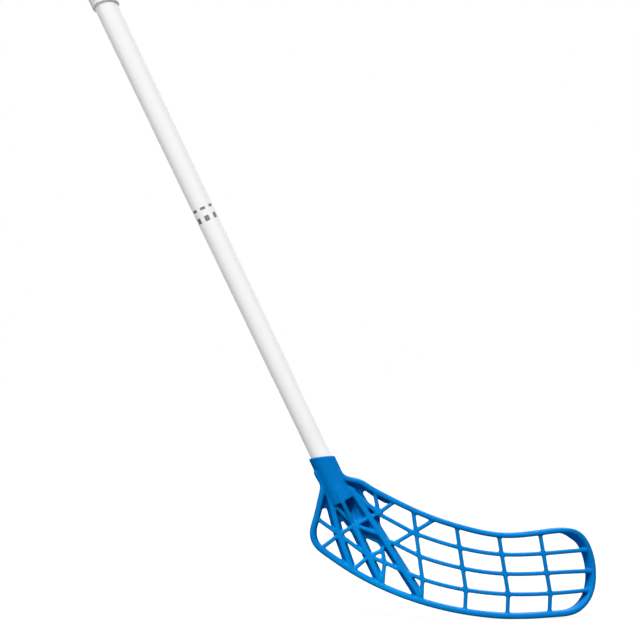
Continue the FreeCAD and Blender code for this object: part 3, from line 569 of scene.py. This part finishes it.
floor_x, floor_y = np.meshgrid(FLOOR_X, FLOOR_Y)
floor = grid_piece("floor", np.stack([floor_x, floor_y, np.full(floor_x.shape, -FLOOR_DROP)], axis=-1))
paper, tree = new_material("white_paper_sweep")
glow = node(tree, "ShaderNodeEmission", Strength=FLOOR_GLOW)
sheet = node(tree, "ShaderNodeBsdfDiffuse", {"Color": "#787878"})
lit = node(tree, "ShaderNodeAddShader", {0: sheet.outputs[0], 1: glow.outputs[0]})
pick = node(tree, "ShaderNodeMixShader", {0: seen_directly(tree), 1: sheet.outputs[0], 2: lit.outputs[0]})
node(tree, "ShaderNodeOutputMaterial", {"Surface": pick.outputs[0]})
floor.data.materials.append(paper)

world = bpy.data.worlds.new("studio")
bpy.context.scene.world = world
world.use_nodes = True
tree = world.node_tree
tree.nodes.clear()
room = node(tree, "ShaderNodeBackground", {"Color": WHITE}, Strength=ROOM_LIGHT)
white = node(tree, "ShaderNodeBackground", {"Color": WHITE}, Strength=1.0)
surround = node(tree, "ShaderNodeMixShader",
                {0: seen_directly(tree), 1: room.outputs[0], 2: white.outputs[0]})
node(tree, "ShaderNodeOutputWorld", {"Surface": surround.outputs[0]})


def new_lamp(name, kind, power, back):
    """A lamp of a kind, which shines down its own -Z, turned so that its +Z points along a direction."""
    item = bpy.data.objects.new(name, bpy.data.lights.new(name, kind))
    item.data.energy = power
    item.rotation_euler = (math.atan2(math.hypot(back[0], back[1]), back[2]), 0.0,
                           math.atan2(back[1], back[0]) + math.pi / 2)
    bpy.context.scene.collection.objects.link(item)
    return item


def soft_sun(name, towards, strength, spread):
    """A distant lamp that shines from a direction, with a spread in degrees that softens its shadows."""
    item = new_lamp(name, "SUN", strength, towards)
    item.data.angle = math.radians(spread)


def soft_spot(name, spot, target, power, cone, colour):
    """A lamp at a spot, aimed at a target, with a cone in degrees that fades from its middle to its edge."""
    item = new_lamp(name, "SPOT", power, np.subtract(spot, target))
    item.location = spot
    item.data.color = linear(colour)[:3]
    item.data.spot_size = math.radians(cone)
    item.data.spot_blend = 1.0
    item.data.shadow_soft_size = SPOT_SIZE


soft_sun("key_lamp", towards=(-0.12, -0.57, 0.80), strength=3.2, spread=26)
soft_sun("top_lamp", towards=(0.18, 0.62, 0.76), strength=1.6, spread=30)
soft_spot("heel_lamp", spot=(-0.45, -0.90, 0.80), target=(-0.150, 0.0, 0.040),
          power=76.0, cone=7.0, colour=WARM)
soft_spot("toe_lamp", spot=(-0.13, -0.71, 1.06), target=(0.02, 0.0, 0.06),
          power=27.0, cone=17.0, colour=WARM)
soft_spot("shaft_lamp", spot=(-1.60, -1.20, 0.55), target=(-0.37, 0.0, 0.56),
          power=16.0, cone=36.0, colour=WHITE)

# The camera: level with the middle of the frame and square to the blade's heel, as in the photograph.
FRAME_WIDTH = 0.672
CAMERA_PLACE = (-0.210, -3.2, 0.3138)
SENSOR_WIDTH = 36.0
camera = bpy.data.cameras.new("camera")
camera.sensor_width = SENSOR_WIDTH
camera.lens = SENSOR_WIDTH * -CAMERA_PLACE[1] / FRAME_WIDTH
eye = bpy.data.objects.new("camera", camera)
bpy.context.scene.collection.objects.link(eye)
eye.location = CAMERA_PLACE
eye.rotation_euler = (math.pi / 2, 0.0, 0.0)
bpy.context.scene.camera = eye
bpy.context.scene.view_settings.view_transform = "Standard"
